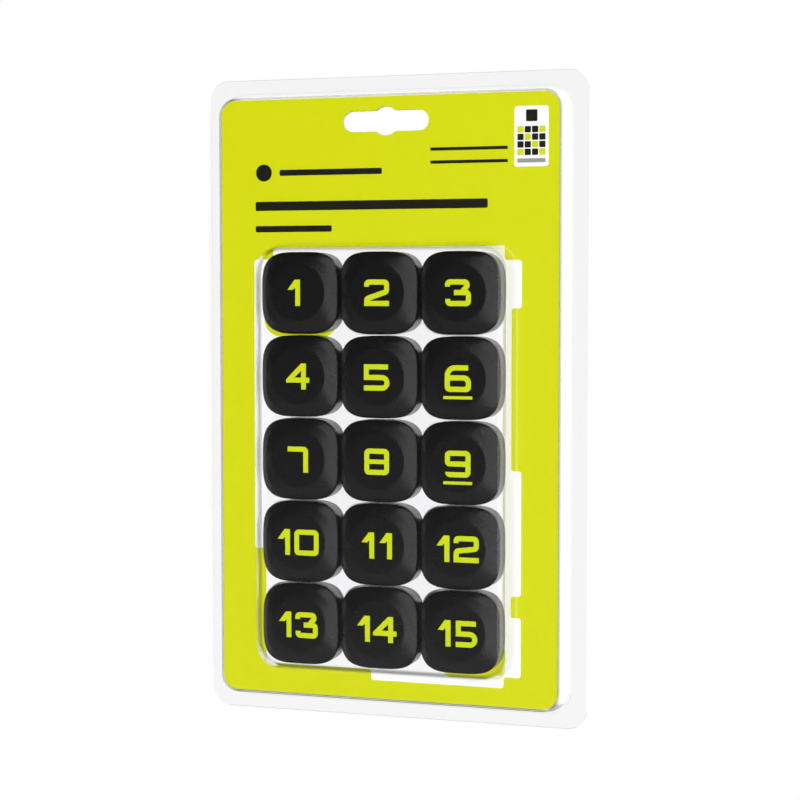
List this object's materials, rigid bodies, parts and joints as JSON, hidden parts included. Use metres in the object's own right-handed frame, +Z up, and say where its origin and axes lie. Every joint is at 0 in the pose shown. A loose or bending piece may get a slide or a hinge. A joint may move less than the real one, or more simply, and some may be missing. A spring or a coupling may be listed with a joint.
{
  "type": "sliding tile puzzle",
  "caption": "Hang pack of numbered square pieces for a sliding tile puzzle: a hinged clear shell over a printed card, with the pieces in columns and rows.",
  "frame": {"origin": "centre of the hang slot, on the back face of the pack", "axes": "+Z up along the pack's height, -Y towards the front where the numbers show, +X to the right seen from the front"},
  "size_m": [0.1134, 0.0161, 0.183],
  "materials": {
    "clear_sheet": "clear thermoformed sheet, glossy",
    "printed_card": "lime and white print on coated card",
    "tile_black": "moulded black plastic, semi-gloss",
    "numeral_lime": "lime inlay, satin",
    "tile_foot": "moulded dark grey plastic"
  },
  "bodies": {
    "back": {"back_shell": "clear_sheet", "insert_card": "printed_card"},
    "front": {"front_shell": "clear_sheet"},
    "tile_01": {"tile_01_cap": "tile_black", "tile_01_numeral": "numeral_lime", "tile_01_base": "tile_foot"},
    "tile_02": {"tile_02_cap": "tile_black", "tile_02_numeral": "numeral_lime", "tile_02_base": "tile_foot"},
    "tile_03": {"tile_03_cap": "tile_black", "tile_03_numeral": "numeral_lime", "tile_03_base": "tile_foot"},
    "tile_04": {"tile_04_cap": "tile_black", "tile_04_numeral": "numeral_lime", "tile_04_base": "tile_foot"},
    "tile_05": {"tile_05_cap": "tile_black", "tile_05_numeral": "numeral_lime", "tile_05_base": "tile_foot"},
    "tile_06": {"tile_06_cap": "tile_black", "tile_06_numeral": "numeral_lime", "tile_06_base": "tile_foot"},
    "tile_07": {"tile_07_cap": "tile_black", "tile_07_numeral": "numeral_lime", "tile_07_base": "tile_foot"},
    "tile_08": {"tile_08_cap": "tile_black", "tile_08_numeral": "numeral_lime", "tile_08_base": "tile_foot"},
    "tile_09": {"tile_09_cap": "tile_black", "tile_09_numeral": "numeral_lime", "tile_09_base": "tile_foot"},
    "tile_10": {"tile_10_cap": "tile_black", "tile_10_numeral": "numeral_lime", "tile_10_base": "tile_foot"},
    "tile_11": {"tile_11_cap": "tile_black", "tile_11_numeral": "numeral_lime", "tile_11_base": "tile_foot"},
    "tile_12": {"tile_12_cap": "tile_black", "tile_12_numeral": "numeral_lime", "tile_12_base": "tile_foot"},
    "tile_13": {"tile_13_cap": "tile_black", "tile_13_numeral": "numeral_lime", "tile_13_base": "tile_foot"},
    "tile_14": {"tile_14_cap": "tile_black", "tile_14_numeral": "numeral_lime", "tile_14_base": "tile_foot"},
    "tile_15": {"tile_15_cap": "tile_black", "tile_15_numeral": "numeral_lime", "tile_15_base": "tile_foot"}
  },
  "joints": [
    {"name": "front_hinge", "type": "hinge", "parent": "back", "child": "front", "pos_m": [-0.05627, -0.00045, 0], "axis": [0, 0, -1], "range_deg": [0, 180]},
    {"name": "tile_01_lift", "type": "slide", "parent": "back", "child": "tile_01", "axis": [0, -1, 0], "range_m": [0, 0.048]},
    {"name": "tile_02_lift", "type": "slide", "parent": "back", "child": "tile_02", "axis": [0, -1, 0], "range_m": [0, 0.048]},
    {"name": "tile_03_lift", "type": "slide", "parent": "back", "child": "tile_03", "axis": [0, -1, 0], "range_m": [0, 0.048]},
    {"name": "tile_04_lift", "type": "slide", "parent": "back", "child": "tile_04", "axis": [0, -1, 0], "range_m": [0, 0.048]},
    {"name": "tile_05_lift", "type": "slide", "parent": "back", "child": "tile_05", "axis": [0, -1, 0], "range_m": [0, 0.048]},
    {"name": "tile_06_lift", "type": "slide", "parent": "back", "child": "tile_06", "axis": [0, -1, 0], "range_m": [0, 0.048]},
    {"name": "tile_07_lift", "type": "slide", "parent": "back", "child": "tile_07", "axis": [0, -1, 0], "range_m": [0, 0.048]},
    {"name": "tile_08_lift", "type": "slide", "parent": "back", "child": "tile_08", "axis": [0, -1, 0], "range_m": [0, 0.048]},
    {"name": "tile_09_lift", "type": "slide", "parent": "back", "child": "tile_09", "axis": [0, -1, 0], "range_m": [0, 0.048]},
    {"name": "tile_10_lift", "type": "slide", "parent": "back", "child": "tile_10", "axis": [0, -1, 0], "range_m": [0, 0.048]},
    {"name": "tile_11_lift", "type": "slide", "parent": "back", "child": "tile_11", "axis": [0, -1, 0], "range_m": [0, 0.048]},
    {"name": "tile_12_lift", "type": "slide", "parent": "back", "child": "tile_12", "axis": [0, -1, 0], "range_m": [0, 0.048]},
    {"name": "tile_13_lift", "type": "slide", "parent": "back", "child": "tile_13", "axis": [0, -1, 0], "range_m": [0, 0.048]},
    {"name": "tile_14_lift", "type": "slide", "parent": "back", "child": "tile_14", "axis": [0, -1, 0], "range_m": [0, 0.048]},
    {"name": "tile_15_lift", "type": "slide", "parent": "back", "child": "tile_15", "axis": [0, -1, 0], "range_m": [0, 0.048]}
  ],
  "couplings": [
    {"joint": "tile_01_lift", "follows": "front_hinge", "m_per_rad": 0.015},
    {"joint": "tile_02_lift", "follows": "front_hinge", "m_per_rad": 0.015},
    {"joint": "tile_03_lift", "follows": "front_hinge", "m_per_rad": 0.015},
    {"joint": "tile_04_lift", "follows": "front_hinge", "m_per_rad": 0.015},
    {"joint": "tile_05_lift", "follows": "front_hinge", "m_per_rad": 0.015},
    {"joint": "tile_06_lift", "follows": "front_hinge", "m_per_rad": 0.015},
    {"joint": "tile_07_lift", "follows": "front_hinge", "m_per_rad": 0.015},
    {"joint": "tile_08_lift", "follows": "front_hinge", "m_per_rad": 0.015},
    {"joint": "tile_09_lift", "follows": "front_hinge", "m_per_rad": 0.015},
    {"joint": "tile_10_lift", "follows": "front_hinge", "m_per_rad": 0.015},
    {"joint": "tile_11_lift", "follows": "front_hinge", "m_per_rad": 0.015},
    {"joint": "tile_12_lift", "follows": "front_hinge", "m_per_rad": 0.015},
    {"joint": "tile_13_lift", "follows": "front_hinge", "m_per_rad": 0.015},
    {"joint": "tile_14_lift", "follows": "front_hinge", "m_per_rad": 0.015},
    {"joint": "tile_15_lift", "follows": "front_hinge", "m_per_rad": 0.015}
  ]
}
